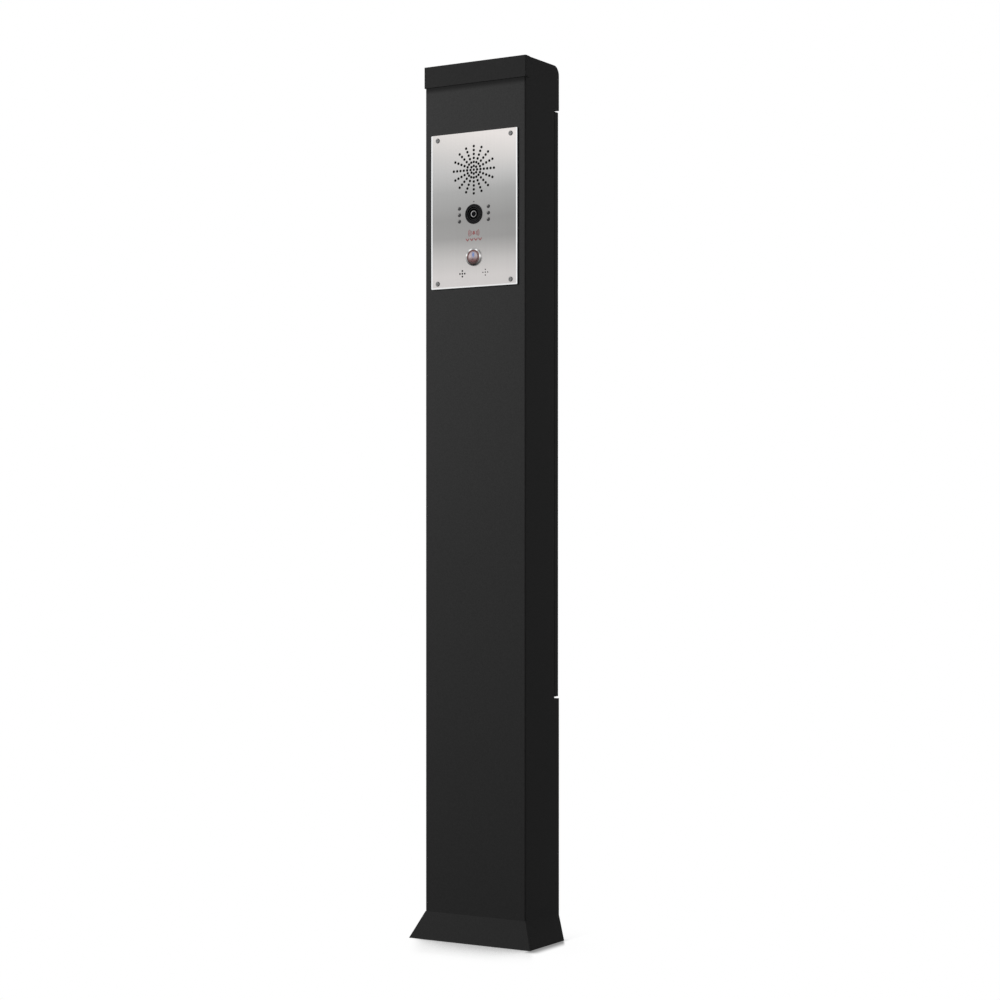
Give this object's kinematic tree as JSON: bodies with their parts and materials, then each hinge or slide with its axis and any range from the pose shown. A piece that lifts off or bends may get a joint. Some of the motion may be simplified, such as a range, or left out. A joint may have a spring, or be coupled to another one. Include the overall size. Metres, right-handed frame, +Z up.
{
  "type": "gate intercom post",
  "caption": "Tall black sheet-steel pillar with a stainless intercom panel, call button and camera, a long rear service door and a flared foot.",
  "frame": {"origin": "on the ground, in the middle of the footprint", "axes": "+Z up, the front with the intercom panel faces -Y, +X to the right seen from the front"},
  "size_m": [0.242, 0.134, 1.5],
  "materials": {
    "powder_coat": "fine matt powder coat, black",
    "zinc_steel": "zinc plated",
    "brushed_stainless": "vertical brushed grain",
    "polished_steel": "polished",
    "button_metal": "satin",
    "black_plastic": "satin black moulding",
    "grey_plastic": "light grey moulding",
    "green_plastic": "green moulding",
    "circuit_board": "green solder mask",
    "lens_glass": "dark coated glass",
    "lamp_dome": "smoked clear dome",
    "lit_ring": "dark red diffuser, unlit",
    "sign_red": "red enamel print",
    "black_rubber": "matt",
    "black_cloth": "open weave",
    "cone_paper": "pressed paper",
    "ferrite": "ground ferrite and zinc",
    "nickel_brass": "nickel plated"
  },
  "bodies": {
    "post": {"body_shell": "powder_coat", "hood": "powder_coat", "lower_rear_cover": "powder_coat", "cover_screws": "zinc_steel", "base_skirt": "powder_coat", "base_plate": "zinc_steel", "cable_grommet": "black_rubber", "door_frame": "powder_coat", "hinge_pins": "zinc_steel", "reed_switch": "grey_plastic", "face_plate": "brushed_stainless", "plate_gasket": "black_rubber", "plate_screws": "polished_steel", "back_box": "zinc_steel", "corner_posts": "zinc_steel", "speaker_dust_cloth": "black_cloth", "speaker_basket": "zinc_steel", "speaker_cone": "cone_paper", "speaker_magnet": "ferrite", "speaker_nuts": "zinc_steel", "camera_bezel": "black_plastic", "camera_lens_ring": "polished_steel", "camera_lens": "lens_glass", "camera_nut": "black_plastic", "camera_module": "black_plastic", "light_sensor": "black_plastic", "call_sign": "sign_red", "button_bezel": "polished_steel", "button_light_ring": "lit_ring", "button_nut": "zinc_steel", "button_switch": "black_plastic", "main_board": "circuit_board", "board_standoffs": "grey_plastic", "terminal_block": "green_plastic", "panel_gland": "nickel_brass", "rail": "zinc_steel", "power_supply": "grey_plastic", "terminal_strip": "grey_plastic", "earth_stud": "nickel_brass", "hinge_bottom_body_leaf": "powder_coat", "hinge_top_body_leaf": "powder_coat", "infrared_lamps_left": "lamp_dome", "lamp_board_left": "circuit_board", "infrared_lamps_right": "lamp_dome", "lamp_board_right": "circuit_board", "microphone_left": "black_rubber", "microphone_right": "black_rubber"},
    "service_door": {"service_door": "powder_coat", "door_seal": "black_rubber", "lock_nuts": "zinc_steel", "reed_magnet": "grey_plastic", "hinge_bottom_door_leaf": "powder_coat", "hinge_top_door_leaf": "powder_coat", "lock_bottom_housing": "polished_steel", "lock_top_housing": "polished_steel"},
    "lock_bottom": {"lock_bottom_core": "polished_steel", "lock_bottom_cam": "zinc_steel"},
    "lock_top": {"lock_top_core": "polished_steel", "lock_top_cam": "zinc_steel"},
    "call_button": {"button_cap": "button_metal"}
  },
  "joints": [
    {"name": "door_hinge", "type": "hinge", "parent": "post", "child": "service_door", "pos_m": [-0.1043, 0.0515, 0.9185], "axis": [0, 0, 1], "range_deg": [0, 110]},
    {"name": "lock_bottom_turn", "type": "hinge", "parent": "service_door", "child": "lock_bottom", "pos_m": [0.06615, 0.065, 0.61625], "axis": [0, -1, 0], "range_deg": [0, 90]},
    {"name": "lock_top_turn", "type": "hinge", "parent": "service_door", "child": "lock_top", "pos_m": [0.06615, 0.065, 1.22075], "axis": [0, -1, 0], "range_deg": [0, 90]},
    {"name": "button_press", "type": "slide", "parent": "post", "child": "call_button", "axis": [0, 1, 0], "range_m": [0, 0.002], "stiffness_N_per_m": 750}
  ]
}
